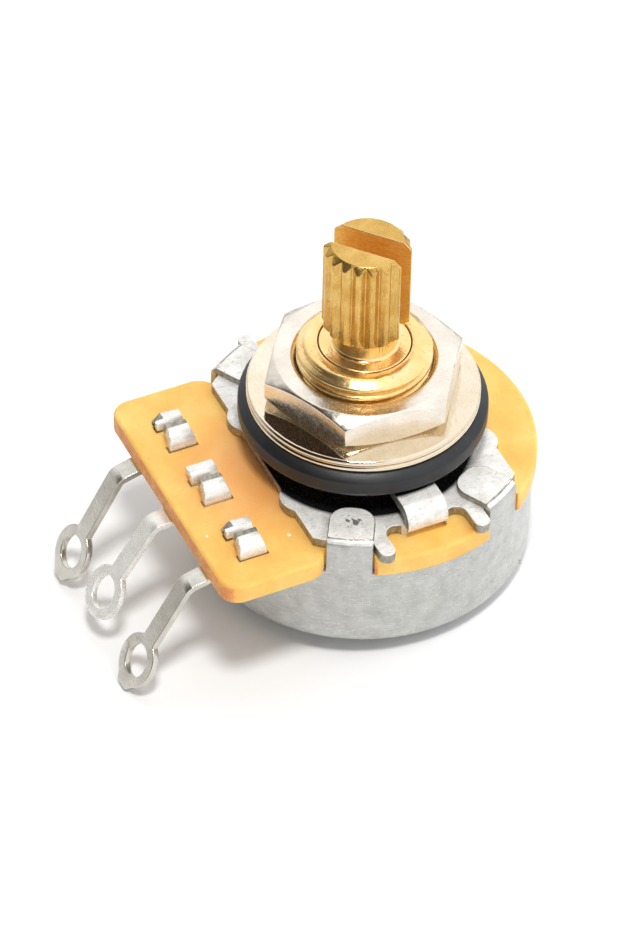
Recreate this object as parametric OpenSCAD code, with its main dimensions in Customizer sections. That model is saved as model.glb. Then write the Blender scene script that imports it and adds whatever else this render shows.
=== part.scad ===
// Panel potentiometer, 24 mm case, with a splined split shaft.
// Origin: the shaft's axis at the front plate's outer face, the face that meets the panel.
// +Z points out along the shaft, and the solder terminals point to -Y.

/* [Case] */
// Outside diameter of the case
can_d = 24; // [22:0.5:27]
// Sheet thickness of the case
can_wall = 0.5; // [0.4:0.05:0.7]
// Height of the case wall, from its floor's outer face to its rim
can_depth = 6.8; // [6.6:0.1:9]
// Outside radius between the wall and the floor
can_corner_r = 0.85; // [0.6:0.05:1.2]
// Width of each of the four tabs that hold the front plate
tab_w = 3.2; // [2.6:0.1:3.6]
// Length of a tab's tongue, measured inward from the case's wall
tab_len = 3.6; // [2.8:0.1:4]
// Angle of each tab from the line through the locating lug
tab_angle = 29.5; // [28:0.5:31]

/* [Element board] */
// Thickness of the laminate board
board_t = 1.6; // [1.2:0.1:2]
// How far the board's round part stands out past the case
board_lip = 0.25; // [0:0.05:0.5]
// Length of the terminal edge, along X
board_len = 20.2; // [19:0.2:22]
// Distance from the shaft's axis to the terminal edge
board_reach = 14.9; // [14.4:0.05:17]
// Radius of the terminal edge's corners
board_corner_r = 1.4; // [0.6:0.1:2]
// Width of the carbon track
track_w = 1.9; // [1.4:0.1:2.2]

/* [Front plate] */
// Sheet thickness of the front plate
plate_t = 0.8; // [0.6:0.1:1]
// Width of the front plate, across Y
plate_w = 15.4; // [14.8:0.1:16]
// Width of the locating lug that is folded back over the plate
lug_w = 3; // [2.4:0.1:3.2]
// Height of the folded lug's upper face over the plate
lug_rise = 1.55; // [1.45:0.05:2]
// Distance from the case's outside in to the lug's fold
lug_inset = 1.45; // [1.2:0.05:1.8]

/* [Bushing, nut and washers] */
// Outside diameter of the bushing's thread
thread_d = 9.5; // [9:0.1:10]
// Length of the bushing over the front plate
bushing_len = 8.35; // [8:0.05:10]
// Nut size across its flats
nut_af = 12.6; // [12.2:0.1:13]
// Thickness of the nut
nut_t = 2.6; // [2.2:0.1:2.8]
// Angle of the nut's corners from +X, as it was left on the thread
nut_turn = 24.5; // [0:0.5:60]
// Outside diameter of the flat washer and the lock washer
washer_d = 16.25; // [15.5:0.05:17]
// Thickness of each washer
washer_t = 0.5; // [0.4:0.05:0.6]
// Number of teeth inside the lock washer
lock_teeth = 12; // [8:1:16]
// Outside diameter of the rubber ring
seal_d = 17.4; // [16.8:0.1:18]
// Height of the rubber ring
seal_t = 1.9; // [1.6:0.1:2.2]

/* [Shaft] */
// Diameter of the shaft where it turns in the bushing
shaft_d = 6.35; // [6:0.05:6.5]
// Height of the shaft's end over the bushing
shaft_out = 8.95; // [8:0.05:14]
// Length of the splined part
spline_len = 7.4; // [5:0.1:7.8]
// Diameter over the splines
spline_d = 6; // [5.8:0.05:6.2]
// Number of splines
spline_count = 18; // [16:1:24]
// Depth of the grooves between the splines
spline_depth = 0.4; // [0.2:0.02:0.46]
// Width of the slot that splits the shaft's end
slot_w = 1.8; // [1:0.1:2]
// Angle of the slot from +X
slot_turn = 42; // [0:1:180]
// Radial running clearance of the shaft in the bushing
run_gap = 0.05; // [0.02:0.01:0.08]

/* [Terminals] */
// Distance between neighbouring terminals
pitch = 5.85; // [5.6:0.05:6.2]
// Thickness of the terminal strip
strip_t = 0.5; // [0.4:0.05:0.6]
// Width of a terminal's leg
leg_w = 1.5; // [1.3:0.05:1.9]
// Radius of the hole in a terminal's eye
eye_hole_r = 1.2; // [1:0.05:1.35]
// Radius of the outside of a terminal's eye
eye_r = 1.95; // [1.8:0.05:2.1]
// Length of an outer leg, from its lower bend to the middle of its eye
leg_run = 6.6; // [6:0.1:8]
// Length of the middle leg, from its lower bend to the middle of its eye
middle_run = 5.95; // [5:0.05:7]
// Angle of each leg where it leaves the board, as they were bent: left, middle and right
leg_slopes = [15, 4, 15];
// Angle of each leg beyond its lower bend
leg_drops = [61, 56, 59];

/* [Turning] */
// Travel of the shaft between its two stops, in degrees
travel = 300; // [280:5:310]
// Width of the rotor's stop arm, in degrees
arm_angle = 24; // [16:2:30]

/* [Hidden] */
$fn = 72;

// Overlap that joins features of one solid, and a smaller one for bent sheet
weld = 0.1;
join = 0.02;
// Clearance that keeps round faces of neighbouring fixed pieces apart
fit = 0.03;

// Levels along the shaft's axis, from the floor of the case up to the end of the shaft
board_top = -plate_t;
board_low = board_top - board_t;
rim_z = board_low;
can_low = rim_z - can_depth;
floor_z = can_low + can_wall;
seal_z = lug_rise;
lock_z = seal_z + seal_t;
washer_z = lock_z + washer_t;
nut_z = washer_z + washer_t;
bushing_top = bushing_len;
shaft_top = bushing_top + shaft_out;
spline_z = shaft_top - spline_len;

can_r = can_d / 2;
can_in_r = can_r - can_wall;
lug_reach = can_r - lug_inset;
board_r = can_r + board_lip;
tab_tip_r = can_r - tab_len;
tab_bend_r = can_wall + 0.15;
tab_gap = 0.12;
tab_places = [for (side = [0, 180]) for (turn = [-tab_angle, tab_angle]) side + turn];

thread_r = thread_d / 2;
shaft_r = shaft_d / 2;
spline_r = spline_d / 2;
neck_r = spline_r - spline_depth - 0.45;
bore_r = shaft_r + run_gap;
collar_r = thread_r + 0.8;
collar_t = 0.6;
spigot_r = thread_r - 0.3;
swage_r = thread_r + 0.45;
swage_t = 0.7;
board_hole_r = swage_r + 0.5;

// The prints lie round the board's hole: the collector ring first, then the track
print_t = 0.05;
print_gap = 0.45;
ring_w = 0.9;
ring_r = board_hole_r + 0.3 + ring_w / 2;
track_r = ring_r + ring_w / 2 + print_gap + track_w / 2;
print_low = board_low - print_t;

// The terminals lie under the board, come up through it in two slots and are clinched over its top
clinch_y = -(board_reach + plate_w / 2 + 1) / 2;
clinch_w = 2.05;
// The strap's outer face, the height of its arch and its sheared end
strap_x = 1.85;
strap_rise = 1.2;
strap_end = 0.3;
// The ear's inner face, and for each ear its underside's height, its length and its tilt, as it was bent
ear_x = -0.35;
ear_bend = 0.12;
ear_rises = [0.2, 0.35, 0.2];
ear_lens = [0.3, 0.5, 0.3];
ear_tilts = [16, 5, 16];
slot_gap = 0.1;
pad_low = board_low - strip_t;
leg_bend_r = 0.5;
leg_root_y = clinch_y - clinch_w / 2 - 0.1;
leg_bend_out = 0.65;
relief_depth = strip_t + 0.5;
relief_angle = 36;

swage_low = board_top - swage_t;
axial_gap = 0.05;
thrust_t = 0.35;
clip_t = 0.5;
clip_gap = 0.02;
thrust_top = swage_low - axial_gap;
clip_top = thrust_top - thrust_t - clip_gap;
groove_r = shaft_r - 0.7;
groove_w = clip_t + 2 * clip_gap;
groove_low = clip_top - clip_t - clip_gap;
drive_r = shaft_r - 0.45;
drive_flat = drive_r - 0.6;
rotor_top = board_low - 0.45;
rotor_low = floor_z + 1.7;
disc_t = 1.3;
disc_top = board_low - 2.2;
disc_r = min(track_r + track_w / 2 + 0.3, can_in_r - 0.15);
hub_r = ring_r - ring_w / 2 - 0.5;
pip_r = 1.2;

stop_angle = (360 - travel - arm_angle) / 2 - 0.5;
stop_in_r = disc_r + 0.3;
stop_top = disc_top - 0.1;
arm_r = can_in_r - 0.4;
arm_z = disc_top - disc_t;

// A sheet cup's section: a wall and a floor with a round corner between them
module cup_half(r, corner, low, high) {
    translate([0, low]) square([r - corner, high - low]);
    translate([0, low + corner]) square([r, high - low - corner]);
    translate([r - corner, low + corner]) circle(r = corner);
}

// A sector of a disc, as a flat outline, centred on +X
module sector(r, half_angle) {
    far = 2 * r;
    intersection() {
        circle(r = r);
        polygon([[0, 0], [far, -far * tan(half_angle)], [far, far * tan(half_angle)]]);
    }
}

// The outline of one tab's tongue, seen from above, pointing along +X
module tab_outline(width, tip) {
    corner = width * 0.42;
    translate([tip + corner, -width / 2]) square([can_r - tip, width]);
    translate([tip, -width / 2 + corner]) square([corner + weld, width - 2 * corner]);
    for (side = [-1, 1]) translate([tip + corner, side * (width / 2 - corner)]) circle(r = corner);
}

// The section of a tab: up the wall, round the bend and in over the plate
module tab_section() {
    bend = [can_r - tab_bend_r, can_wall - tab_bend_r];
    translate([can_in_r, rim_z - weld]) square([can_wall, bend[1] - rim_z + weld]);
    intersection() {
        difference() {
            translate(bend) circle(r = tab_bend_r);
            translate(bend) circle(r = tab_bend_r - can_wall);
        }
        translate(bend) square(tab_bend_r);
    }
    translate([tab_tip_r - weld, 0]) square([bend[0] - tab_tip_r + weld, can_wall]);
}

// The dent at the foot of the wall that stops the rotor's arm, and its hollow outside
module stop_dent() {
    rotate([0, 0, -90]) {
        difference() {
            translate([0, 0, floor_z - weld]) linear_extrude(stop_top - floor_z + weld)
                sector(can_in_r + weld, stop_angle);
            translate([0, 0, floor_z - 2 * weld]) cylinder(r = stop_in_r, h = stop_top - floor_z + 4 * weld);
        }
    }
}

module stop_hollow() {
    rotate([0, 0, -90])
        difference() {
            translate([0, 0, floor_z + 0.6]) linear_extrude(stop_top - floor_z - 1.1)
                sector(can_r + 1, stop_angle - 3);
            translate([0, 0, can_low - 1]) cylinder(r = stop_in_r + can_wall, h = can_depth + 2);
        }
}

module can() {
    color([0.78, 0.78, 0.76]) difference() {
        union() {
            rotate_extrude() {
                difference() {
                    cup_half(can_r, can_corner_r, can_low, rim_z);
                    cup_half(can_in_r, can_corner_r - can_wall, floor_z, rim_z + 1);
                }
                tab_section();
            }
            stop_dent();
        }
        stop_hollow();
        // The rim between the tabs
        translate([0, 0, rim_z]) linear_extrude(-rim_z + 2) difference() {
            circle(r = can_r + 2);
            for (place = tab_places) rotate(place) tab_outline(tab_w, tab_tip_r);
        }
        // Relief in the rim, under the terminals
        translate([0, 0, rim_z - relief_depth]) linear_extrude(relief_depth + 1)
            rotate(-90) sector(can_r + 1, relief_angle);
    }
}

// The stamped outline of the front plate
module plate_outline() {
    seat_r = can_in_r - tab_gap;
    horn_w = 1.15;
    horn_y = can_r * sin(tab_angle) - tab_w / 2 - 0.72;
    horn_r = can_r + 0.1;
    window_x = lug_reach - 0.2;
    window_w = 2 * horn_y - horn_w;
    notch_r = 0.75;
    bump_x = 4.35;
    bump_r = 1.6;
    difference() {
        union() {
            intersection() {
                circle(r = seat_r);
                square([2 * can_r, plate_w], center = true);
            }
            for (side = [-1, 1]) for (end = [-1, 1]) {
                translate([end * bump_x, side * (plate_w / 2 + 0.5 - bump_r)]) circle(r = bump_r);
                translate([end * (seat_r - 0.9), side * horn_y]) square([2.2, horn_w], center = true);
                translate([end * (horn_r - horn_w / 2), side * horn_y]) circle(d = horn_w);
            }
        }
        for (end = [-1, 1]) {
            translate([end * (window_x + can_r), 0]) square([2 * can_r, window_w], center = true);
            for (side = [-1, 1])
                translate([end * window_x, side * (lug_w / 2 + notch_r)]) circle(r = notch_r);
        }
        circle(r = spigot_r + fit);
    }
}

// The locating lug's section: round its fold and back in over the plate
module lug_section() {
    fold_r = (lug_rise + plate_t) / 2;
    fold = [lug_reach - fold_r, lug_rise - fold_r];
    strip_low = lug_rise - plate_t;
    tip = min(seal_d / 2 - 1.4, lug_reach - 3.25);
    intersection() {
        difference() {
            translate(fold) circle(r = fold_r);
            translate(fold) circle(r = fold_r - plate_t);
        }
        translate([fold[0], fold[1] - 2]) square([3, 4]);
    }
    translate([tip + plate_t / 2, strip_low]) square([fold[0] - tip - plate_t / 2 + join, plate_t]);
    translate([tip + plate_t / 2, strip_low + plate_t / 2]) circle(d = plate_t);
}

module front_plate() {
    fold_x = lug_reach - (lug_rise + plate_t) / 2;
    color([0.85, 0.85, 0.83]) {
        difference() {
            translate([0, 0, board_top]) linear_extrude(plate_t) plate_outline();
            // The lug is bent up from here
            translate([fold_x, -lug_w / 2, board_top - 1]) cube([can_r, lug_w, plate_t + 2]);
        }
        translate([0, lug_w / 2, 0]) rotate([90, 0, 0]) linear_extrude(lug_w) lug_section();
    }
}

module bushing() {
    chamfer = 0.75;
    color([0.85, 0.66, 0.3])
        rotate_extrude() polygon([
            [bore_r, swage_low], [swage_r - 0.3, swage_low], [swage_r, swage_low + 0.3],
            [swage_r, board_top], [spigot_r, board_top], [spigot_r, 0], [collar_r, 0],
            [collar_r, collar_t], [thread_r, collar_t], [thread_r, bushing_top - chamfer * 0.85],
            [thread_r - chamfer, bushing_top], [bore_r, bushing_top]]);
}

// The board's outline: a disc over the case, and the rectangle that carries the terminals
module board_outline() {
    corner_x = board_len / 2 - board_corner_r;
    back_y = -7.65;
    difference() {
        union() {
            circle(r = board_r);
            translate([-corner_x, -board_reach]) square([2 * corner_x, board_reach + back_y]);
            translate([-board_len / 2, -board_reach + board_corner_r])
                square([board_len, board_reach - board_corner_r + back_y]);
            for (side = [-1, 1])
                translate([side * corner_x, -board_reach + board_corner_r]) circle(r = board_corner_r);
        }
        for (place = tab_places) rotate(place)
            translate([can_in_r - tab_gap, -tab_w / 2 - tab_gap]) square([4, tab_w + 2 * tab_gap]);
        circle(r = board_hole_r);
        for (at = [-pitch, 0, pitch]) for (foot = [strap_x, ear_x])
            translate([at + foot - strip_t - slot_gap, clinch_y - clinch_w / 2 - slot_gap])
                square([strip_t + 2 * slot_gap, clinch_w + 2 * slot_gap]);
    }
}

module element_board() {
    color([0.96, 0.66, 0.3])
        translate([0, 0, board_low]) linear_extrude(board_t) board_outline();
}

// A flat ring's part between two angles, printed under the board
module print_arc(r, width, from, sweep) {
    rotate([0, 0, from]) rotate_extrude(angle = sweep)
        translate([r - width / 2, print_low]) square([width, print_t]);
}

module carbon_track() {
    color([0.12, 0.12, 0.13]) print_arc(track_r, track_w, 90 - travel / 2, travel);
}

module collector_ring() {
    tail_w = 1.4;
    tail_from = ring_r;
    tail_to = -(clinch_y + clinch_w / 2);
    color([0.75, 0.75, 0.74]) {
        difference() {
            union() {
                translate([0, 0, print_low]) cylinder(r = ring_r + ring_w / 2, h = print_t);
                translate([-tail_w / 2, -tail_to, print_low]) cube([tail_w, tail_to - tail_from, print_t]);
            }
            translate([0, 0, print_low - 1]) cylinder(r = ring_r - ring_w / 2, h = print_t + 2);
        }
    }
}

// The silver print that joins one end of the track to its terminal
module end_contact(side) {
    end_sweep = 6;
    end_at = 90 - travel / 2;
    lead_x = track_r * cos(end_at - end_sweep / 2);
    lead_w = 1.3;
    lead_from = track_r * sin(-end_at + end_sweep / 2);
    lead_to = -(clinch_y + clinch_w / 2);
    color([0.8, 0.8, 0.79])
        mirror([side < 0 ? 1 : 0, 0, 0]) {
            print_arc(track_r, track_w, end_at - end_sweep, end_sweep);
            translate([lead_x - lead_w / 2, -lead_to, print_low])
                cube([lead_w, lead_to - lead_from, print_t]);
        }
}

module end_contact_left() { end_contact(-1); }
module end_contact_right() { end_contact(1); }

// A bent strip's round part, as a flat outline: it starts upright over +X and turns by sweep
module bend_outline(inner, thick, sweep) {
    far = 3 * (inner + thick);
    intersection() {
        difference() {
            circle(r = inner + thick);
            circle(r = inner);
        }
        polygon([[0, 0], [far, 0], [far, far * tan(sweep / 2)], [far * cos(sweep), far * sin(sweep)]]);
    }
}

// The clinch of one terminal, seen from the terminal edge: a strap that arches over out of the board,
// and the root of an ear that is bent the other way
module clinch_outline(tilt, rise) {
    strap_r = strap_rise;
    ear_low = board_top + rise;
    // The strap
    translate([strap_x - strip_t, pad_low]) square([strip_t, board_top + strap_rise - strap_r - pad_low]);
    translate([strap_x - strap_r, board_top + strap_rise - strap_r])
        bend_outline(strap_r - strip_t, strip_t, 90);
    translate([strap_end, board_top + strap_rise - strip_t]) square([strap_x - strap_r - strap_end, strip_t]);
    // The ear's root
    translate([ear_x - strip_t, pad_low]) square([strip_t, ear_low - ear_bend - pad_low]);
    translate([ear_x - strip_t - ear_bend, ear_low - ear_bend]) bend_outline(ear_bend, strip_t, 90 + tilt);
    // The pad that joins them under the board
    translate([ear_x - strip_t, pad_low]) square([strap_x - ear_x + strip_t, strip_t]);
}

module clinch(tilt, rise, ear_len) {
    translate([0, clinch_w / 2, 0]) rotate([90, 0, 0]) linear_extrude(clinch_w) clinch_outline(tilt, rise);
    // The ear
    translate([ear_x - strip_t - ear_bend, 0, board_top + rise - ear_bend]) rotate([0, -tilt, 0])
        translate([0, 0, ear_bend]) linear_extrude(strip_t)
            translate([-ear_len, -clinch_w / 2]) square([ear_len + join, clinch_w]);
}

// Length of a leg's slope between its two bends
function slope_run(slope) = (board_reach + leg_bend_out + leg_root_y) / cos(slope);

// A leg seen from the side: its slope out from under the board, its lower bend and the run to the eye
module leg_outline(slope, drop, run) {
    pad_y = -clinch_y - clinch_w / 2 + weld;
    turn = drop - slope;
    translate([pad_y, pad_low]) square([join - leg_root_y - pad_y, strip_t]);
    translate([-leg_root_y, pad_low - leg_bend_r]) {
        rotate(90 - slope) bend_outline(leg_bend_r, strip_t, slope);
        rotate(-slope) {
            translate([-join, leg_bend_r]) square([slope_run(slope) + 2 * join, strip_t]);
            translate([slope_run(slope), 0]) {
                rotate(90 - turn) bend_outline(leg_bend_r, strip_t, turn);
                rotate(-turn) translate([-join, leg_bend_r]) square([run - eye_r + 0.2 + join, strip_t]);
            }
        }
    }
}

// The eye at the end of a leg, as a flat outline around its hole, with its tip along +X
module eye_outline(blunt) {
    difference() {
        union() {
            circle(r = eye_r);
            translate([-eye_r - 0.4, -leg_w / 2]) square([eye_r + 0.4, leg_w]);
            if (blunt) polygon([[0.6, -eye_r * 0.95], [eye_r + 0.3, -0.55],
                                [eye_r + 0.3, 0.55], [0.6, eye_r * 0.95]]);
        }
        circle(r = eye_hole_r);
    }
}

// One terminal: a pad under the board, its clinch, and a leg that bends down to the eye
module terminal(index, run, blunt) {
    slope = leg_slopes[index];
    drop = leg_drops[index];
    color([0.72, 0.71, 0.68]) translate([(index - 1) * pitch, 0, 0]) {
        translate([0, clinch_y, 0]) clinch(ear_tilts[index], ear_rises[index], ear_lens[index]);
        translate([leg_w / 2, 0, 0]) rotate([90, 0, -90])
            linear_extrude(leg_w) leg_outline(slope, drop, run);
        translate([0, leg_root_y, pad_low - leg_bend_r]) rotate([slope, 0, 0])
            translate([0, -slope_run(slope), 0]) rotate([drop - slope, 0, 0])
                translate([0, -run, leg_bend_r]) rotate([0, 0, -90])
                    linear_extrude(strip_t) eye_outline(blunt);
    }
}

module terminal_left() { terminal(0, leg_run, true); }
module terminal_middle() { terminal(1, middle_run, false); }
module terminal_right() { terminal(2, leg_run, true); }

// The rubber ring's section: a sloped upper edge, an upright side and a round lower edge
module sealing_ring() {
    outer = seal_d / 2;
    inner = outer - 2.1;
    low_r = 0.6;
    slope = 0.45;
    color([0.13, 0.13, 0.14]) rotate_extrude() translate([0, seal_z]) {
        translate([inner, low_r])
            polygon([[0, 0], [outer - inner, 0], [outer - inner, seal_t - low_r - slope],
                     [outer - inner - 0.6, seal_t - low_r], [0, seal_t - low_r]]);
        translate([inner, 0]) square([outer - inner - low_r, low_r + join]);
        translate([outer - low_r, low_r]) circle(r = low_r);
    }
}

// A washer's section with a rolled outer edge
module washer_section(inner, outer) {
    square_w = outer - inner - washer_t / 2;
    translate([inner, 0]) square([square_w, washer_t]);
    translate([outer - washer_t / 2, washer_t / 2]) circle(d = washer_t);
}

module flat_washer() {
    color([0.86, 0.85, 0.82]) translate([0, 0, washer_z])
        rotate_extrude() washer_section(thread_r + 0.2, washer_d / 2);
}

module lock_washer() {
    tooth_root = thread_r + 1.6;
    tooth_w = 3.14159 * thread_d / lock_teeth * 0.55;
    color([0.8, 0.79, 0.76]) translate([0, 0, lock_z]) {
        rotate_extrude() washer_section(tooth_root, washer_d / 2);
        for (i = [0 : lock_teeth - 1]) rotate([0, 0, i * 360 / lock_teeth])
            translate([thread_r + 0.2, -tooth_w / 2, 0])
                cube([tooth_root - thread_r - 0.2 + 0.3, tooth_w, washer_t]);
    }
}

module hex_nut() {
    flat_r = nut_af / 2;
    corner_r = flat_r / cos(30);
    crown_r = flat_r - 0.12;
    drop = (corner_r - crown_r) * tan(30);
    hole_r = thread_r + fit;
    mouth = 0.3;
    color([0.88, 0.87, 0.84]) translate([0, 0, nut_z]) difference() {
        intersection() {
            rotate([0, 0, nut_turn]) cylinder(r = corner_r, h = nut_t, $fn = 6);
            // Both faces are turned down at the corners
            rotate_extrude() polygon([[0, 0], [crown_r, 0], [corner_r, drop], [corner_r, nut_t - drop],
                                      [crown_r, nut_t], [0, nut_t]]);
        }
        translate([0, 0, -1]) cylinder(r = hole_r, h = nut_t + 2);
        translate([0, 0, nut_t - mouth]) cylinder(r1 = hole_r, r2 = hole_r + mouth, h = mouth);
        translate([0, 0, -0.001]) cylinder(r1 = hole_r + mouth, r2 = hole_r, h = mouth);
    }
}

// The splined outline: narrow-topped ridges with V grooves between them
module spline_outline() {
    step = 360 / spline_count;
    land = step * 0.13;
    root = spline_r - spline_depth;
    polygon([for (i = [0 : spline_count - 1]) for (p = [[-land, spline_r], [0, spline_r], [land, spline_r],
             [step / 2, root]]) [p[1] * cos(i * step + p[0]), p[1] * sin(i * step + p[0])]]);
}

// A round bar with two flats, as a flat outline
module drive_outline(clear) {
    intersection() {
        circle(r = drive_r + clear);
        square([2 * drive_r + 1, 2 * (drive_flat + clear)], center = true);
    }
}

module shaft() {
    top_chamfer = 0.5;
    foot_chamfer = 0.4;
    drive_top = groove_low - 0.35;
    color([0.85, 0.66, 0.3]) difference() {
        union() {
            rotate([0, 0, slot_turn]) intersection() {
                translate([0, 0, spline_z]) linear_extrude(spline_len) spline_outline();
                rotate_extrude() polygon([[0, spline_z], [spline_r - foot_chamfer, spline_z],
                    [spline_r + 0.01, spline_z + foot_chamfer], [spline_r + 0.01, shaft_top - top_chamfer],
                    [spline_r - top_chamfer, shaft_top], [0, shaft_top]]);
            }
            rotate_extrude() polygon([
                [0, drive_top - weld], [shaft_r, drive_top - weld], [shaft_r, groove_low],
                [groove_r, groove_low], [groove_r, groove_low + groove_w], [shaft_r, groove_low + groove_w],
                [shaft_r, bushing_top - 0.08], [shaft_r - 0.08, bushing_top], [neck_r, bushing_top],
                [neck_r, spline_z + weld], [0, spline_z + weld]]);
            translate([0, 0, rotor_low - 0.2]) linear_extrude(drive_top - rotor_low + 0.2) drive_outline(0);
            translate([0, 0, floor_z + axial_gap]) cylinder(r = pip_r, h = rotor_low - floor_z);
        }
        rotate([0, 0, slot_turn]) translate([-spline_r - 1, -slot_w / 2, spline_z - 0.25])
            cube([2 * spline_r + 2, slot_w, spline_len + 1]);
    }
}

module thrust_washer() {
    color([0.62, 0.62, 0.64]) translate([0, 0, thrust_top - thrust_t]) difference() {
        cylinder(r = swage_r - 0.1, h = thrust_t);
        translate([0, 0, -1]) cylinder(r = shaft_r + fit, h = thrust_t + 2);
    }
}

// A spring clip with three prongs that sit in the shaft's groove
module retaining_clip() {
    outer = swage_r - 0.35;
    inner = outer - 0.85;
    mouth = 38;
    prong_w = 1.3;
    color([0.35, 0.36, 0.38]) translate([0, 0, clip_top - clip_t]) linear_extrude(clip_t) difference() {
        union() {
            difference() {
                circle(r = outer);
                circle(r = inner);
                rotate(-90) sector(outer + 1, mouth);
            }
            for (turn = [-90 + mouth + 12, 90, -90 - mouth - 12]) rotate(turn)
                translate([groove_r - 0.3, -prong_w / 2]) square([inner - groove_r + 0.7, prong_w]);
        }
        circle(r = groove_r + fit);
    }
}

module rotor() {
    arm_in = disc_r - 1;
    color([0.2, 0.13, 0.1]) difference() {
        union() {
            translate([0, 0, rotor_low]) cylinder(r = hub_r, h = rotor_top - rotor_low);
            translate([0, 0, disc_top - disc_t]) cylinder(r = disc_r, h = disc_t);
            // The stop arm, opposite the terminals at mid travel
            translate([0, 0, rotor_low]) linear_extrude(disc_top - rotor_low) rotate(90) difference() {
                sector(arm_r, arm_angle / 2);
                circle(r = arm_in);
            }
            for (x = wiper_rivets) translate([x, rivet_y, disc_top - weld])
                cylinder(r = rivet_r, h = weld + spring_t + 0.25);
        }
        translate([0, 0, rotor_low - 1]) linear_extrude(rotor_top - rotor_low + 2) drive_outline(fit);
    }
}

// The wiper's values, shared with the rotor that carries it
spring_t = 0.2;
rivet_r = 0.45;
rivet_y = hub_r + 1.15;
wiper_rivets = [-5.6, 5.6];
finger_w = 0.9;
finger_root = -3.6;
contact_gap = 0.04;

// One spring finger, seen along its track: it leaves the plate, rises and rounds over at its contact
module finger_outline() {
    low = disc_top;
    high = print_low - contact_gap;
    nose = 0.35;
    polygon([[finger_root - 1, low], [finger_root + 0.15, low], [-0.32, high - nose - 0.1],
             [0.38, high - nose - 0.5], [0.5, high - nose - 0.35], [0.34, high - nose],
             [-0.34, high - nose + 0.12], [finger_root, low + spring_t], [finger_root - 1, low + spring_t]]);
    translate([0, high - nose]) circle(r = nose);
}

module wiper_spring() {
    plate_low = 6;
    color([0.8, 0.55, 0.35]) intersection() {
        // It turns inside the case
        translate([0, 0, floor_z]) cylinder(r = can_in_r - 0.3, h = board_low - floor_z);
        union() {
            difference() {
                translate([0, 0, disc_top]) linear_extrude(spring_t) difference() {
                    union() {
                        translate([-plate_low - 0.6, hub_r + 0.25]) square([2 * plate_low + 1.2, 1.8]);
                        translate([finger_root - 1.9, hub_r + 0.3])
                            square([1.1, track_r + finger_w / 2 - hub_r - 0.3]);
                        translate([finger_root - 1.9, track_r - finger_w / 2]) square([1.2, finger_w]);
                    }
                    circle(r = hub_r + 0.15);
                }
                for (x = wiper_rivets) translate([x, rivet_y, disc_top - 1])
                    cylinder(r = rivet_r + fit, h = 3);
            }
            for (r = [track_r, ring_r]) translate([0, r + finger_w / 2, 0]) rotate([90, 0, 0])
                linear_extrude(finger_w) finger_outline();
        }
    }
}

can();
front_plate();
bushing();
element_board();
carbon_track();
collector_ring();
end_contact_left();
end_contact_right();
terminal_left();
terminal_middle();
terminal_right();
sealing_ring();
lock_washer();
flat_washer();
hex_nut();
shaft();
thrust_washer();
retaining_clip();
rotor();
wiper_spring();
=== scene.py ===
# Panel potentiometer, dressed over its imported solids. Sizes in the dictionaries are millimetres.
import math

import bmesh
import bpy
from mathutils import Matrix, Vector


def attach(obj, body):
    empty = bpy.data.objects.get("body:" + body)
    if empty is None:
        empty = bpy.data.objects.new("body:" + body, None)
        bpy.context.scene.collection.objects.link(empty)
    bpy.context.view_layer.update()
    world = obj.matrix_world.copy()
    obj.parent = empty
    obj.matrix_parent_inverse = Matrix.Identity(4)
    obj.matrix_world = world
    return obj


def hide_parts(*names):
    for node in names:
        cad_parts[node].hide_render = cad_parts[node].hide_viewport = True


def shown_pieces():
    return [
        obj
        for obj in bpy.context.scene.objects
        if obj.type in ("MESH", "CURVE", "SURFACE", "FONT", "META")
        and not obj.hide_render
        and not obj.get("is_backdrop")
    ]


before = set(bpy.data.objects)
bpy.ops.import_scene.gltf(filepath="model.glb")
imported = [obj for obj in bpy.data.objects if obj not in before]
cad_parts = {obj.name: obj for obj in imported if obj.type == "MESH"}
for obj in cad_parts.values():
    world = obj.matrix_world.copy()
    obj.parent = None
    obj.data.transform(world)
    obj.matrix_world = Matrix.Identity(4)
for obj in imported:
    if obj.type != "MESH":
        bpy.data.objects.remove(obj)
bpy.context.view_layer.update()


def mm(x, y, z):
    return Vector((x, y, z)) / 1000


def linear(hexColour):  # sRGB hex to linear
    parts = [int(hexColour[i:i + 2], 16) / 255 for i in (1, 3, 5)]
    return tuple(p / 12.92 if p <= 0.04045 else ((p + 0.055) / 1.055) ** 2.4 for p in parts) + (1,)


# Camera, at the photograph's angle
camera = {"azimuth": 63.31, "elevation": 43.61, "roll": -1.82, "distance": 400, "aimHeight": -0.2,
          "lens": 222.44, "shiftX": -0.05538, "shiftY": -0.0378}


def makeCamera(c):
    az, el, roll = (math.radians(c[k]) for k in ("azimuth", "elevation", "roll"))
    away = Vector((math.sin(az) * math.cos(el), -math.cos(az) * math.cos(el), math.sin(el)))
    across = Vector((math.cos(az), math.sin(az), 0))
    down = (-away).cross(across)
    right = across * math.cos(roll) + down * math.sin(roll)
    up = across * math.sin(roll) - down * math.cos(roll)
    data = bpy.data.cameras.new("camera")
    data.lens, data.sensor_width, data.shift_x, data.shift_y = c["lens"], 36, c["shiftX"], c["shiftY"]
    data.clip_start, data.clip_end = 0.01, 10
    eye = bpy.data.objects.new("camera", data)
    turn = Matrix((right, up, away)).transposed().to_4x4()
    eye.matrix_world = Matrix.Translation(away * c["distance"] / 1000 + mm(0, 0, c["aimHeight"])) @ turn
    bpy.context.scene.collection.objects.link(eye)
    bpy.context.scene.camera = eye


makeCamera(camera)
print("camera placed")


# Materials
def addNode(tree, kind, settings=None, links=None):
    node = tree.nodes.new(kind)
    for key, value in (settings or {}).items():
        if isinstance(key, int) or key in node.inputs:
            node.inputs[key].default_value = value
        else:
            setattr(node, key, value)
    for key, source in (links or {}).items():
        tree.links.new(source, node.inputs[key])
    return node


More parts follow.
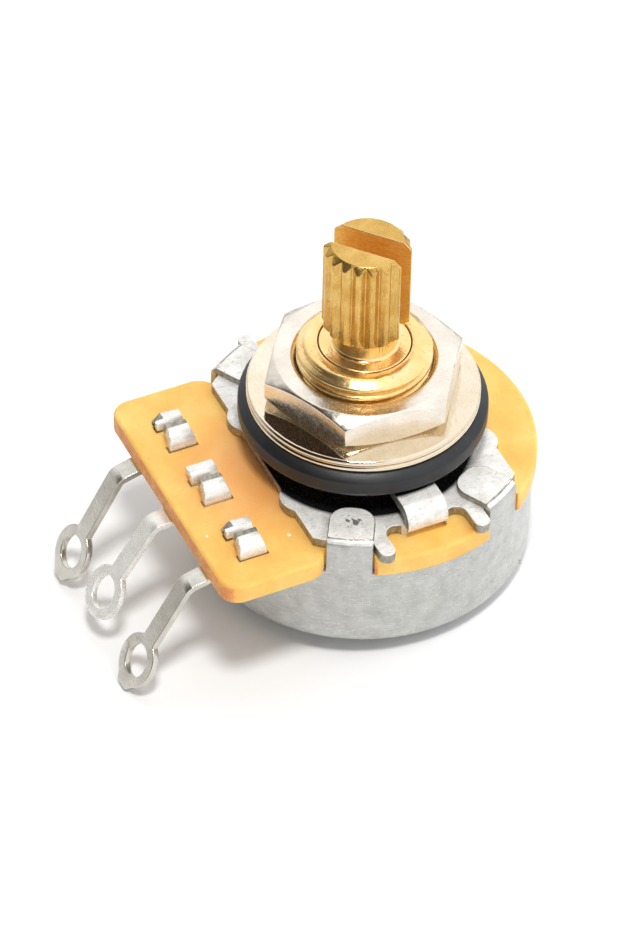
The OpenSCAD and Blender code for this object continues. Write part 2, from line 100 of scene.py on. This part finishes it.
def noiseAt(tree, place, size, detail=3, stretch=(1, 1, 1)):  # size is about one feature's, in mm
    scaled = addNode(tree, "ShaderNodeMapping", {"Scale": [s * 1000 / size for s in stretch]}, {"Vector": place})
    return addNode(tree, "ShaderNodeTexNoise", {"Scale": 1, "Detail": detail, "Roughness": 0.55},
                   {"Vector": scaled.outputs[0]}).outputs["Fac"]


def ramp(tree, factor, *stops):  # each stop is (position, colour or number)
    node = addNode(tree, "ShaderNodeValToRGB", links={"Fac": factor})
    elements = node.color_ramp.elements
    while len(elements) < len(stops):
        elements.new(0.5)
    for element, (at, value) in zip(elements, stops):
        element.position = at
        element.color = linear(value) if isinstance(value, str) else (value, value, value, 1)
    return node.outputs["Color"]


def mixColour(tree, factor, first, second, kind="MIX"):
    node = addNode(tree, "ShaderNodeMix", {"data_type": "RGBA", "blend_type": kind}, {6: first})
    if isinstance(factor, float):
        node.inputs[0].default_value = factor
    else:
        tree.links.new(factor, node.inputs[0])
    if isinstance(second, str):
        node.inputs[7].default_value = linear(second)
    else:
        tree.links.new(second, node.inputs[7])
    return node.outputs[2]


def nearness(tree, place, x, y, inner, outer, most):  # most within inner mm of a point seen from above, 0 past outer
    flat = addNode(tree, "ShaderNodeVectorMath", {"operation": "MULTIPLY", 1: (1000, 1000, 0)}, {0: place}).outputs[0]
    away = addNode(tree, "ShaderNodeVectorMath", {"operation": "DISTANCE", 1: (x, y, 0)}, {0: flat}).outputs["Value"]
    return addNode(tree, "ShaderNodeMapRange", {"From Min": outer, "From Max": inner, "To Max": most},
                   {"Value": away}).outputs["Result"]


def makeMaterial(name, m):
    material = bpy.data.materials.new(name)
    material.use_nodes = True
    tree = material.node_tree
    shader = tree.nodes["Principled BSDF"]
    for key, value in m["shader"].items():
        shader.inputs[key].default_value = value
    place = addNode(tree, "ShaderNodeTexCoord").outputs["Object"]
    cloud = noiseAt(tree, place, m["cloud"], 5)
    colour = ramp(tree, cloud, *zip((0.32, 0.5, 0.68), m["colours"]))
    fine = noiseAt(tree, place, m["fine"], 2)
    heights = [(fine, m.get("fineDepth", 0.002)), (cloud, m.get("cloudDepth", 0.004))]
    if "specks" in m:  # small spots of another colour
        spots = noiseAt(tree, place, m["specks"]["size"], 2)
        mask = ramp(tree, spots, (m["specks"]["from"], 0), (m["specks"]["from"] + 0.05, m["specks"]["most"]))
        colour = mixColour(tree, mask, colour, m["specks"]["colour"])
        heights.append((spots, m["specks"].get("depth", 0.004)))
    if "lines" in m:  # scratches or tool marks, long along the small numbers of their stretch
        marks = noiseAt(tree, place, m["lines"]["size"], 4, m["lines"]["stretch"])
        width = m["lines"]["width"]
        mask = ramp(tree, marks, (0.5 - width, 0), (0.5, m["lines"]["most"]), (0.5 + width, 0))
        colour = mixColour(tree, mask, colour, m["lines"]["colour"])
        heights.append((marks, m["lines"].get("depth", 0.003)))
    # painted shade: the soft rounds darken or deepen a colour where shade falls
    for x, y, inner, outer, most, roundColour in m.get("rounds", ()):  # soft rounds of another colour, in mm
        colour = mixColour(tree, nearness(tree, place, x, y, inner, outer, most), colour, roundColour)
    for x, y, radius in m.get("scuffs", {"at": ()})["at"]:  # scratched spots, in mm
        near = nearness(tree, place, x, y, 0, radius, 0.4)
        torn = addNode(tree, "ShaderNodeMath", {"operation": "ADD"},
                       {0: near, 1: noiseAt(tree, place, m["scuffs"]["size"], 4, (1, 2, 1))}).outputs[0]
        colour = mixColour(tree, ramp(tree, torn, (0.74, 0), (0.78, 0.85)), colour, m["scuffs"]["colour"])
    if "rings" in m:  # turning marks round the shaft's axis
        rings = addNode(tree, "ShaderNodeTexWave", {
            "wave_type": "RINGS", "rings_direction": "Z", "Scale": 1000 / m["rings"]["pitch"] / 20 * math.pi,
            "Distortion": 0.6, "Detail": 2, "Detail Scale": 2}, {"Vector": place}).outputs["Fac"]
        heights.append((rings, m["rings"]["depth"]))
    tree.links.new(colour, shader.inputs["Base Color"])
    low, high = m["rough"]
    tree.links.new(ramp(tree, fine, (0.3, low), (0.7, high)), shader.inputs["Roughness"])
    normal = None
    for height, depth in heights:
        bump = addNode(tree, "ShaderNodeBump", {"Distance": depth / 1000}, {"Height": height})
        if normal:
            tree.links.new(normal, bump.inputs["Normal"])
        normal = bump.outputs["Normal"]
    tree.links.new(normal, shader.inputs["Normal"])
    return material


materialSpecs = {
    # Deep-drawn, zinc-plated steel: a dull grey cloudiness with small rubs and dark pin marks
    "zincPlatedSteelCan": {
        "shader": {"Metallic": 0.7}, "cloud": 1.1, "fine": 0.16, "rough": (0.28, 0.44),
        "colours": ("#B2B2AE", "#BBBBB7", "#C4C4C0"), "cloudDepth": 0.012, "fineDepth": 0.005,
        "specks": {"size": 0.24, "from": 0.64, "most": 0.4, "colour": "#8B8983", "depth": 0.006},
        "lines": {"size": 0.7, "stretch": (0.6, 0.6, 2.2), "width": 0.014, "most": 0.5, "colour": "#F4F4F2"}},
    # Stamped sheet, zinc plated: a white satin, pitted with dark specks from the rolling mill
    "brightZincPlate": {
        "shader": {"Metallic": 0.12}, "cloud": 1.0, "fine": 0.3, "rough": (0.18, 0.34),
        "colours": ("#DEDAD2", "#EFECE6", "#FBF9F5"), "cloudDepth": 0.03, "fineDepth": 0.003,
        "specks": {"size": 0.3, "from": 0.67, "most": 0.6, "colour": "#8A857B", "depth": 0.008},
        "lines": {"size": 0.9, "stretch": (1.6, 0.5, 1), "width": 0.012, "most": 0.55, "colour": "#8A867D"},
        # painted shadow and reflection of the rubber ring: a near-black round on the plate under it, set off centre
        "rounds": ((0.9, -0.5, 7.65, 7.95, 1, "#141516"),)},
    # Bright nickel plating on a pressed washer: a warm mirror, faintly wavy, with wiping streaks
    "mirrorNickelPlate": {
        "shader": {"Metallic": 1.0}, "cloud": 3, "fine": 0.2, "rough": (0.05, 0.11),
        "colours": ("#E6D6BC", "#ECDDC5", "#F2E6D2"), "cloudDepth": 0.05, "fineDepth": 0.0006,
        "lines": {"size": 0.9, "stretch": (0.4, 3, 2), "width": 0.012, "most": 0.4, "colour": "#B5A892"}},
    # Bright nickel plating over a turned and broached nut: the same mirror over faint tool marks
    "nickelPlatedNut": {
        "shader": {"Metallic": 1.0}, "cloud": 2.2, "fine": 0.2, "rough": (0.19, 0.29),
        "colours": ("#E4DACB", "#ECE3D6", "#F2EBE0"), "cloudDepth": 0.04, "fineDepth": 0.001,
        "lines": {"size": 0.9, "stretch": (3, 0.6, 2), "width": 0.012, "most": 0.35, "colour": "#B9AE9C"}},
    # Turned free-cutting brass: golden, with fine tool rings
    "turnedBrass": {
        "shader": {"Metallic": 0.9}, "cloud": 1.6, "fine": 0.15, "rough": (0.14, 0.24),
        "colours": ("#F9CF8A", "#FCD998", "#FEE3AE"), "cloudDepth": 0.02, "fineDepth": 0.001,
        "specks": {"size": 0.3, "from": 0.65, "most": 0.4, "colour": "#A97A34", "depth": 0.008},
        "rings": {"pitch": 0.12, "depth": 0.002}},
    # The shaft's brass: rolled splines, satin, drawn along the shaft
    "rolledBrass": {
        "shader": {"Metallic": 0.86}, "cloud": 1.4, "fine": 0.12, "rough": (0.18, 0.28),
        "colours": ("#C69947", "#D0A553", "#DCB466"), "cloudDepth": 0.02, "fineDepth": 0.002,
        "specks": {"size": 0.26, "from": 0.65, "most": 0.4, "colour": "#A2742E", "depth": 0.006},
        "lines": {"size": 0.4, "stretch": (2.5, 2.5, 0.3), "width": 0.03, "most": 0.4, "colour": "#F7E0A6"}},
    # The slot's walls, left by the saw: deep orange, with the teeth's marks across them
    "sawnBrass": {
        "shader": {"Metallic": 0.5}, "cloud": 1.2, "fine": 0.1, "rough": (0.3, 0.42),
        "colours": ("#F9C257", "#FCCB66", "#FED679"), "cloudDepth": 0.01, "fineDepth": 0.002,
        "lines": {"size": 0.24, "stretch": (0.4, 0.4, 3), "width": 0.08, "most": 0.7, "colour": "#D38C30",
                  "depth": 0.006}},
    # Moulded nitrile rubber: soft black with a faint bloom and dust
    "mouldedRubber": {
        "shader": {"Specular IOR Level": 0.5}, "cloud": 2.2, "fine": 0.12, "rough": (0.34, 0.5),
        "colours": ("#121314", "#191A1B", "#212223"), "cloudDepth": 0.012, "fineDepth": 0.004,
        "specks": {"size": 0.2, "from": 0.7, "most": 0.5, "colour": "#5C5C5E"}},
    # Punched phenolic laminate: orange resin that light goes into, cloudy and waxy
    "phenolicLaminate": {
        "shader": {"Subsurface Weight": 0.4, "Subsurface Radius": (1.0, 0.42, 0.1), "Subsurface Scale": 0.0009,
                   "Specular IOR Level": 0.4},
        "cloud": 2.6, "fine": 0.16, "rough": (0.34, 0.5), "colours": ("#F8B855", "#FCC363", "#FFCF75"),
        "cloudDepth": 0.04, "fineDepth": 0.003,
        "specks": {"size": 0.3, "from": 0.66, "most": 0.3, "colour": "#D98A36"},
        "lines": {"size": 0.6, "stretch": (3, 0.5, 1), "width": 0.01, "most": 0.3, "colour": "#FFE2B0"},
        # painted shade: a deeper orange round on the board beside the plate, under the ring's shade
        "rounds": ((0.5, -7.5, 2.5, 7.5, 0.5, "#FFA066"),),
        "scuffs": {"size": 0.3, "colour": "#FFF3D8", "at": ((6.75, -8.76, 0.3), (4.6, -13.9, 0.25))}},
    # The laminate's sheared side: torn resin and paper, rough, and darker as painted shade on the side facing away
    # from the light
    "shadedShearedLaminate": {
        "shader": {"Subsurface Weight": 0.3, "Subsurface Radius": (1.0, 0.42, 0.1), "Subsurface Scale": 0.0006},
        "cloud": 0.8, "fine": 0.14, "rough": (0.5, 0.65), "colours": ("#E0873A", "#EC9A4C", "#F6B468"),
        "cloudDepth": 0.04, "fineDepth": 0.012,
        "specks": {"size": 0.2, "from": 0.6, "most": 0.6, "colour": "#C0662A", "depth": 0.02},
        "lines": {"size": 0.3, "stretch": (1, 1, 0.4), "width": 0.02, "most": 0.5, "colour": "#FFE0B4"}},
    # Hot-tinned brass strip, cut in a press: grey satin with shiny wiped streaks
    "tinPlatedStrip": {
        "shader": {"Metallic": 0.85}, "cloud": 1.2, "fine": 0.12, "rough": (0.14, 0.26),
        "colours": ("#C4C0B6", "#CFCBC1", "#DAD6CD"), "cloudDepth": 0.008, "fineDepth": 0.002,
        "specks": {"size": 0.2, "from": 0.66, "most": 0.4, "colour": "#96928A", "depth": 0.005},
        "lines": {"size": 0.4, "stretch": (3, 0.3, 0.3), "width": 0.015, "most": 0.25, "colour": "#F6F4EE",
                  "depth": 0.001}},
    # The same strip where the clinching tool has wiped it: nearly white. The whole middle terminal takes it too, as a
    # painted sheen for the light its sloping leg catches
    "wipedTinAndSheen": {
        "shader": {"Metallic": 0.45}, "cloud": 0.8, "fine": 0.3, "rough": (0.2, 0.34),
        "colours": ("#E6E3DC", "#ECEAE4", "#F3F1ED"), "cloudDepth": 0.002, "fineDepth": 0.0005,
        "specks": {"size": 0.3, "from": 0.69, "most": 0.35, "colour": "#A29E95", "depth": 0.002}},
    # Tinned or plated steel where a tool has sheared it: rough and dull; also laid on as painted shade at the tabs'
    # edges, the plate's sides and the ears' bent halves
    "shearedTinAndShade": {
        "shader": {"Metallic": 1.0}, "cloud": 0.3, "fine": 0.1, "rough": (0.4, 0.6),
        "colours": ("#8E8B82", "#ABA79D", "#C6C2B8"), "cloudDepth": 0.05, "fineDepth": 0.012,
        "specks": {"size": 0.15, "from": 0.58, "most": 0.7, "colour": "#6C675C", "depth": 0.01}},
    # Screened carbon ink: matt black with a fine tooth
    "carbonInk": {
        "shader": {}, "cloud": 1, "fine": 0.08, "rough": (0.7, 0.85), "colours": ("#151516", "#1B1B1C", "#222224"),
        "specks": {"size": 0.15, "from": 0.66, "most": 0.6, "colour": "#3A3A3C"}},
    # Screened silver ink: pale grey metal flakes in resin
    "silverInk": {
        "shader": {"Metallic": 0.6}, "cloud": 1, "fine": 0.08, "rough": (0.45, 0.6),
        "colours": ("#B8B8B4", "#C4C4C0", "#CECECA"),
        "specks": {"size": 0.15, "from": 0.64, "most": 0.5, "colour": "#8F8F8B"}},
    # Moulded wood-filled phenolic: dark brown, glossy skin with flecks
    "mouldedPhenolic": {
        "shader": {}, "cloud": 1.5, "fine": 0.12, "rough": (0.3, 0.42), "colours": ("#2A1A12", "#352218", "#3F2A1E"),
        "specks": {"size": 0.2, "from": 0.64, "most": 0.6, "colour": "#5C4230"}},
    # Oiled spring steel: dark blue-grey with a soft sheen
    "springSteel": {
        "shader": {"Metallic": 1.0}, "cloud": 1.2, "fine": 0.1, "rough": (0.28, 0.4),
        "colours": ("#4A4C50", "#585A5E", "#66686C"),
        "specks": {"size": 0.2, "from": 0.66, "most": 0.5, "colour": "#7E7468"}},
    # Punched steel washer: grey with die marks
    "punchedSteel": {
        "shader": {"Metallic": 1.0}, "cloud": 1.2, "fine": 0.1, "rough": (0.3, 0.44),
        "colours": ("#83848A", "#92939A", "#A1A2A8"), "rings": {"pitch": 0.2, "depth": 0.003}},
    # Rolled phosphor bronze: copper-gold, with rolling lines along the strip
    "phosphorBronze": {
        "shader": {"Metallic": 1.0}, "cloud": 1.2, "fine": 0.1, "rough": (0.2, 0.32),
        "colours": ("#B87A48", "#C98A56", "#D69A66"),
        "lines": {"size": 0.3, "stretch": (0.3, 4, 4), "width": 0.04, "most": 0.4, "colour": "#E8B58A"}},
}
# The tabs' tops, the same zinc, scratched where the crimping tool pressed, and painted lighter than the can's walls
# where the light falls on them
materialSpecs["crimpedZincTabLitTop"] = {**materialSpecs["brightZincPlate"], "rounds": (),
                                   "scuffs": {"size": 0.35, "colour": "#45433F", "at": ((8.6, -4.75, 0.9),)}}
materials = {name: makeMaterial(name, spec) for name, spec in materialSpecs.items()}
print("materials made:", len(materials))


# Pieces
def addPiece(name, mesh, material, body, replaced, sharpAngle=50):
    mesh.materials.clear()
    mesh.materials.append(materials[material])
    mesh.polygons.foreach_set("use_smooth", [True] * len(mesh.polygons))
    mesh.set_sharp_from_angle(angle=math.radians(sharpAngle))
    piece = bpy.data.objects.new(name, mesh)
    bpy.context.scene.collection.objects.link(piece)
    weighted = piece.modifiers.new("faceWeights", "WEIGHTED_NORMAL")
    weighted.keep_sharp = True
    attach(piece, body)
    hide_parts(*replaced)
    return piece


def paint(piece, material, picks):  # another material on the faces that are picked by middle and normal
    piece.data.materials.append(materials[material])
    for face in piece.data.polygons:
        if picks(face.center * 1000, face.normal):
            face.material_index = len(piece.data.materials) - 1


softening = {"weld": 0.03, "flat": 0.6, "sharp": 27}  # mm, and degrees between faces


def softened(node, passes, shape=None):  # a copy of a CAD node's mesh, shaped and with its edges rounded
    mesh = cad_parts[node].data.copy()
    bm = bmesh.new()
    bm.from_mesh(mesh)
    bmesh.ops.remove_doubles(bm, verts=bm.verts, dist=softening["weld"] / 1000)
    bmesh.ops.dissolve_limit(bm, angle_limit=math.radians(softening["flat"]), verts=bm.verts, edges=bm.edges)
    if shape:
        shape(bm)
    for picks, width, segments in passes:
        edges = [e for e in bm.edges if len(e.link_faces) == 2
                 and e.calc_face_angle(0) > math.radians(softening["sharp"])
                 and picks((e.verts[0].co + e.verts[1].co) * 500)]
        bmesh.ops.bevel(bm, geom=edges, offset=width / 1000, offset_type="OFFSET", segments=segments,
                        profile=0.5, affect="EDGES", clamp_overlap=False)
        print("  ", node, "edges softened:", len(edges))
    bm.to_mesh(mesh)
    bm.free()
    return mesh


def anywhere(p):
    return True


# The case with its four tabs
can = {"edge": 0.07, "tabFrom": 0.1, "tabTo": 11.6, "upward": 0.6, "flat": 0.97}
case = addPiece("case", softened("can", [(anywhere, can["edge"], 2)]), "zincPlatedSteelCan", "housing",
                ["can"])
# painted light: the tabs' upward faces take the lighter zinc, brighter than the can's walls
paint(case, "crimpedZincTabLitTop", lambda p, n: p.z > can["tabFrom"] and n.z > can["upward"])
# painted shade: the tabs' edges and sides take the darker sheared steel, a dark outline for the shade in the gap
# between tab and plate
paint(case, "shearedTinAndShade", lambda p, n: p.z > can["tabFrom"] and n.z < can["flat"]
      and math.hypot(p.x, p.y) < can["tabTo"])

# The front plate, its edges rolled over by the stamping tool
plate = {"edge": 0.08, "lugFrom": 9.3, "lugSide": 1.5, "near": 0.25, "side": 0.3}


def onLug(p):
    return p.x > plate["lugFrom"] and abs(p.y) < plate["lugSide"] + plate["near"]


def offLugSides(p):  # where the lug runs into the plate's notches an edge can't be rounded
    return p.x < plate["lugFrom"] or abs(abs(p.y) - plate["lugSide"]) > plate["near"]


stamping = addPiece("frontPlate", softened("front_plate", [(offLugSides, plate["edge"], 3)]), "brightZincPlate",
                    "housing", ["front_plate"])
# the plate's side faces take the darker sheared steel: partly the dull cut edge, partly painted shade that makes them
# read as a thin dark line
paint(stamping, "shearedTinAndShade", lambda p, n: abs(n.z) < plate["side"] and not onLug(p))

# The board: a rounded arris all round, but sharp slots and sharp where the tabs and the lug pass
board = {"arris": 0.27, "corner": (10.1, -7.69), "cornerRound": 0.8, "stepsAcross": 0.6, "stepsAlong": 0.25,
         "slotX": 8.4, "slotLow": -13.2, "slotHigh": -10.4,
         "tabTurn": 29.5, "tabSpread": 13, "tabFrom": 9.6, "tabTo": 11.95,
         "lugHalf": 3.6, "lugFrom": 5, "lugTo": 12.18, "side": 0.3, "sideBack": -0.5}


def onSlots(p):
    return abs(p.x) < board["slotX"] and board["slotLow"] < p.y < board["slotHigh"]


def onNotches(p):
    turn = math.degrees(math.atan2(abs(p.y), abs(p.x)))
    beside = abs(turn - board["tabTurn"]) < board["tabSpread"]
    return beside and board["tabFrom"] < math.hypot(p.x, p.y) < board["tabTo"]


def onLugSlot(p):
    return p.x > board["lugFrom"] and abs(p.y) < board["lugHalf"] and math.hypot(p.x, p.y) < board["lugTo"]


def onBackCorners(p):
    x, y = board["corner"]
    return abs(abs(p.x) - x) < 0.01 and abs(p.y - y) < 0.01


def joinCorners(bm):  # the small steps beside the tabs become one corner
    x, y = board["corner"]
    steps = [v for v in bm.verts
             if abs(v.co.x) * 1000 > x - board["stepsAcross"] and abs(v.co.y * 1000 - y) < board["stepsAlong"]]
    for v in steps:
        v.co = mm(math.copysign(x, v.co.x), y, v.co.z * 1000)
    bmesh.ops.remove_doubles(bm, verts=steps, dist=1e-5)


laminate = addPiece("board", softened("element_board", [
    (onBackCorners, board["cornerRound"], 4),
    (lambda p: not onSlots(p) and not onNotches(p) and not onLugSlot(p), board["arris"], 4)], joinCorners),
    "phenolicLaminate", "housing", ["element_board"])
# painted shade: only the sides facing back (-Y), away from the light, take the darker sheared laminate
paint(laminate, "shadedShearedLaminate", lambda p, n: abs(n.z) < board["side"] and n.y < board["sideBack"])

# The terminals: each clinch is a strap that narrows over its arch and an ear beside it
terminal = {"edge": 0.07, "pitch": 5.85, "clinchY": -11.8, "boardTop": -0.8, "strapHigh": 1.2, "strapNarrow": 0.22,
            "earFrom": -0.8, "earFold": -0.35, "earDrop": 0.8, "torn": 0.45, "strapEnd": 0.3}


def clinchShape(at, foldEar):
    t = terminal

    def shape(bm):
        bmesh.ops.bisect_plane(bm, geom=bm.verts[:] + bm.edges[:] + bm.faces[:], dist=1e-7,
                               plane_co=mm(at + t["strapEnd"] + t["torn"], 0, 0), plane_no=(1, 0, 0))
        if foldEar:
            bmesh.ops.bisect_plane(bm, geom=bm.verts[:] + bm.edges[:] + bm.faces[:], dist=1e-7,
                                   plane_co=mm(0, t["clinchY"] + t["earFold"], 0), plane_no=(0, 1, 0))
        for v in bm.verts:
            p = v.co * 1000
            across, high = p.y - t["clinchY"], p.z - t["boardTop"]
            if high > 0.02 and p.x - at > 0:
                across *= 1 - t["strapNarrow"] * min(1, high / t["strapHigh"]) ** 2
            elif high > 0.05 and p.x - at < t["earFrom"] and foldEar and across < t["earFold"]:
                high = max(0.03, high + (across - t["earFold"]) * t["earDrop"])
            else:
                continue
            v.co = mm(p.x, t["clinchY"] + across, t["boardTop"] + high)
    return shape


for side, index in (("left", -1), ("middle", 0), ("right", 1)):
    at = index * terminal["pitch"]
    piece = addPiece("terminal" + side.title(),
                     softened("terminal_" + side, [(anywhere, terminal["edge"], 2)], clinchShape(at, index != 0)),
                     "tinPlatedStrip", "housing", ["terminal_" + side])
    # the clinches above the board are wiped white by the tool; the whole middle terminal is painted white too, a
    # painted sheen for its sloping leg
    paint(piece, "wipedTinAndSheen", lambda p, n: p.z > terminal["boardTop"] or index == 0)
    # the torn band on each strap is sheared steel; the outer ears' bent-down halves take it as painted shade for
    # facing away from the light
    paint(piece, "shearedTinAndShade", lambda p, n: p.z > terminal["boardTop"] + 0.9
          and 0 < p.x - at < terminal["strapEnd"] + terminal["torn"]
          or index != 0 and p.z > terminal["boardTop"] and p.x - at < terminal["earFrom"]
          and p.y - terminal["clinchY"] < terminal["earFold"])
print("sheet pieces made")

# The rubber ring, the washers and the nut
stack = {"sealing_ring": ("rubberRing", "mouldedRubber", "black_rubber", 0.1),
         "lock_washer": ("lockWasher", "mirrorNickelPlate", "nickel_spring_steel", 0.05),
         "flat_washer": ("flatWasher", "mirrorNickelPlate", "nickel_steel", 0.04),
         "hex_nut": ("nut", "nickelPlatedNut", "nickel_steel", 0.07)}
for node, (name, material, slotName, edge) in stack.items():
    addPiece(name, softened(node, [(anywhere, edge, 2)]), material, "housing", [node])

# The bushing, with its thread cut as a helix
bushing = {"bore": 3.225, "low": -1.5, "collar": (5.55, 0.6), "spigot": 4.45, "swage": 5.2, "plate": -0.8,
           "crest": 4.72, "root": 4.24, "pitch": 0.794, "top": 8.35, "flatTo": 4.02, "chamfer": 0.42,
           "steps": 144, "rowsPerTurn": 12}


def threadRadius(b, angle, z):
    turn = (z / b["pitch"] - angle / (2 * math.pi)) % 1
    rise = min(1, max(0, abs(turn - 0.5) * 3.2 - 0.12))
    radius = b["root"] + (b["crest"] - b["root"]) * rise
    edge = b["flatTo"] + (b["top"] - z) / b["chamfer"] * (b["crest"] - b["flatTo"])
    return min(radius, edge)


def threadedBushing(b):
    rows = [("bore", b["low"]), ("swage", b["low"]), ("swage", b["plate"]), ("spigot", b["plate"]), ("spigot", 0),
            ("collar", 0), ("collar", b["collar"][1])]
    count = int((b["top"] - b["collar"][1]) / b["pitch"] * b["rowsPerTurn"])
    span = b["top"] - b["collar"][1]
    rows += [("thread", b["collar"][1] + span * i / count) for i in range(count + 1)]
    rows += [("lip", b["top"]), ("bore", b["top"] - 0.1)]
    radii = {"bore": b["bore"], "swage": b["swage"], "spigot": b["spigot"], "collar": b["collar"][0],
             "lip": b["bore"] + 0.1}
    points, faces, n = [], [], b["steps"]
    for kind, z in rows:
        for i in range(n):
            angle = 2 * math.pi * i / n
            radius = threadRadius(b, angle, z) if kind == "thread" else radii[kind]
            points.append(mm(radius * math.cos(angle), radius * math.sin(angle), z))
    for row in range(len(rows)):
        after = (row + 1) % len(rows)
        faces += [(row * n + i, row * n + (i + 1) % n, after * n + (i + 1) % n, after * n + i) for i in range(n)]
    mesh = bpy.data.meshes.new("threadedBushing")
    mesh.from_pydata(points, [], faces)
    return mesh


addPiece("threadedBushing", threadedBushing(bushing), "turnedBrass", "housing", ["bushing"], 60)

# The shaft
shaft = {"edge": 0.06, "edgesFrom": 9.3, "neckFillet": 0.3, "neckFoot": 8.35, "neckReach": 2.5,
         "slotTurn": 42, "slotFloor": 9.6, "slotHalf": 0.93, "rimFrom": 16.5, "rimSlope": (0.3, 0.95)}


def onNeckFoot(p):
    return abs(p.z - shaft["neckFoot"]) < 0.05 and math.hypot(p.x, p.y) < shaft["neckReach"]


def acrossSlot(p):
    turn = math.radians(shaft["slotTurn"])
    return abs(p.y * math.cos(turn) - p.x * math.sin(turn))


def inSlot(p, n):
    return p.z > shaft["slotFloor"] and acrossSlot(p) < shaft["slotHalf"] and n.z < 0.5


def onSlotRim(p, n):
    low, high = shaft["rimSlope"]
    return p.z > shaft["rimFrom"] and acrossSlot(p) < shaft["slotHalf"] + shaft["edge"] and low < n.z < high


spindleTop = addPiece("splinedShaft", softened("shaft", [(onNeckFoot, shaft["neckFillet"], 4),
                                                         (lambda p: p.z > shaft["edgesFrom"], shaft["edge"], 2)]),
                      "rolledBrass", "spindle", ["shaft"])
paint(spindleTop, "sawnBrass", inSlot)
# the slot's rim is rubbed bright; the neck and shoulder take the paler turned brass, partly for their turned finish,
# partly as a painted highlight where the shoulder catches the light
paint(spindleTop, "turnedBrass", lambda p, n: onSlotRim(p, n) or p.z < shaft["edgesFrom"])
print("turned pieces made")

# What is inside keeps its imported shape
inside = {"carbon_track": "carbonInk", "collector_ring": "silverInk", "end_contact_left": "silverInk",
          "end_contact_right": "silverInk", "thrust_washer": "punchedSteel", "retaining_clip": "springSteel",
          "rotor": "mouldedPhenolic", "wiper_spring": "phosphorBronze"}
for node, material in inside.items():
    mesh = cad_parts[node].data
    mesh.materials.clear()
    mesh.materials.append(materials[material])
print("inner pieces finished")

# Floor, light and view
floor = {"slopeX": 0.0427, "slopeY": 0.0559, "size": 3000, "paper": "#FCFCFC", "beyond": "#8A8886",
         "paperTo": 75, "beyondFrom": 170}
lights = {"keyHeight": 600, "keyLean": 16, "keySize": 130, "keyPower": 1.85, "keyColour": "#FFFFFF",
          "sky": "#FDFEFF", "skyStrength": 1.26, "parts": [
              {"azimuth": 12, "elevation": 47, "colour": "#33261B", "from": 0.6, "to": 0.84},
              {"azimuth": 335, "elevation": -10, "colour": "#B4B1AD", "from": 0.35, "to": 0.9}]}


def lowestOver(slopeX, slopeY):
    heights = [1.0]
    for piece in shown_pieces():
        heights += [v.co.z - slopeX * v.co.x - slopeY * v.co.y for v in piece.data.vertices]
    return min(heights)


def makeFloor(f):
    level, half = lowestOver(f["slopeX"], f["slopeY"]), f["size"] / 2000
    corners = [(x, y, level + f["slopeX"] * x + f["slopeY"] * y)
               for x, y in ((-half, -half), (half, -half), (half, half), (-half, half))]
    mesh = bpy.data.meshes.new("floor")
    mesh.from_pydata(corners, [], [(0, 1, 2, 3)])
    plane = bpy.data.objects.new("floor", mesh)
    paper = bpy.data.materials.new("floorPaper")
    paper.use_nodes = True
    tree = paper.node_tree
    shader = tree.nodes["Principled BSDF"]
    shader.inputs["Roughness"].default_value = 0.6
    shader.inputs["Specular IOR Level"].default_value = 0.2
    # White card in the middle, darkening to grey farther out: painted shade, the floor darker with distance
    place = addNode(tree, "ShaderNodeTexCoord").outputs["Object"]
    away = addNode(tree, "ShaderNodeVectorMath", {"operation": "LENGTH"}, {0: place}).outputs["Value"]
    reach = addNode(tree, "ShaderNodeMapRange", {"From Min": f["paperTo"] / 1000, "From Max": f["beyondFrom"] / 1000},
                    {"Value": away}).outputs["Result"]
    tree.links.new(ramp(tree, reach, (0, f["paper"]), (1, f["beyond"])), shader.inputs["Base Color"])
    mesh.materials.append(paper)
    bpy.context.scene.collection.objects.link(plane)
    plane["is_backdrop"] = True


def towards(azimuth, elevation):
    a, e = math.radians(azimuth), math.radians(elevation)
    return Vector((math.sin(a) * math.cos(e), -math.cos(a) * math.cos(e), math.sin(e)))


def makeLight(k):
    key = bpy.data.lights.new("key", "AREA")
    key.shape, key.size, key.energy = "DISK", k["keySize"] / 1000, k["keyPower"]
    key.color = linear(k["keyColour"])[:3]
    lamp = bpy.data.objects.new("key", key)
    aim = towards(camera["azimuth"], 90 - k["keyLean"])
    lamp.location = aim * k["keyHeight"] / 1000
    lamp.rotation_euler = (-aim).to_track_quat("-Z", "Y").to_euler()
    bpy.context.scene.collection.objects.link(lamp)
    # The room is white, with a dark part beside the camera and a grey one low down, which the metals mirror
    world = bpy.data.worlds.new("room")
    bpy.context.scene.world = world
    world.use_nodes = True
    tree = world.node_tree
    direction = addNode(tree, "ShaderNodeTexCoord").outputs["Generated"]
    colour = None
    for part in k["parts"]:
        middle = towards(part["azimuth"], part["elevation"])
        facing = addNode(tree, "ShaderNodeVectorMath", {"operation": "DOT_PRODUCT", 1: middle}, {0: direction})
        shade = ramp(tree, facing.outputs["Value"], (part["from"], k["sky"]), (part["to"], part["colour"]))
        colour = mixColour(tree, 1.0, colour, shade, "MULTIPLY") if colour else shade
    tree.links.new(colour, tree.nodes["Background"].inputs["Color"])
    tree.nodes["Background"].inputs["Strength"].default_value = k["skyStrength"]


makeFloor(floor)
makeLight(lights)
bpy.context.scene.view_settings.view_transform = "Standard"
print("floor and light placed")
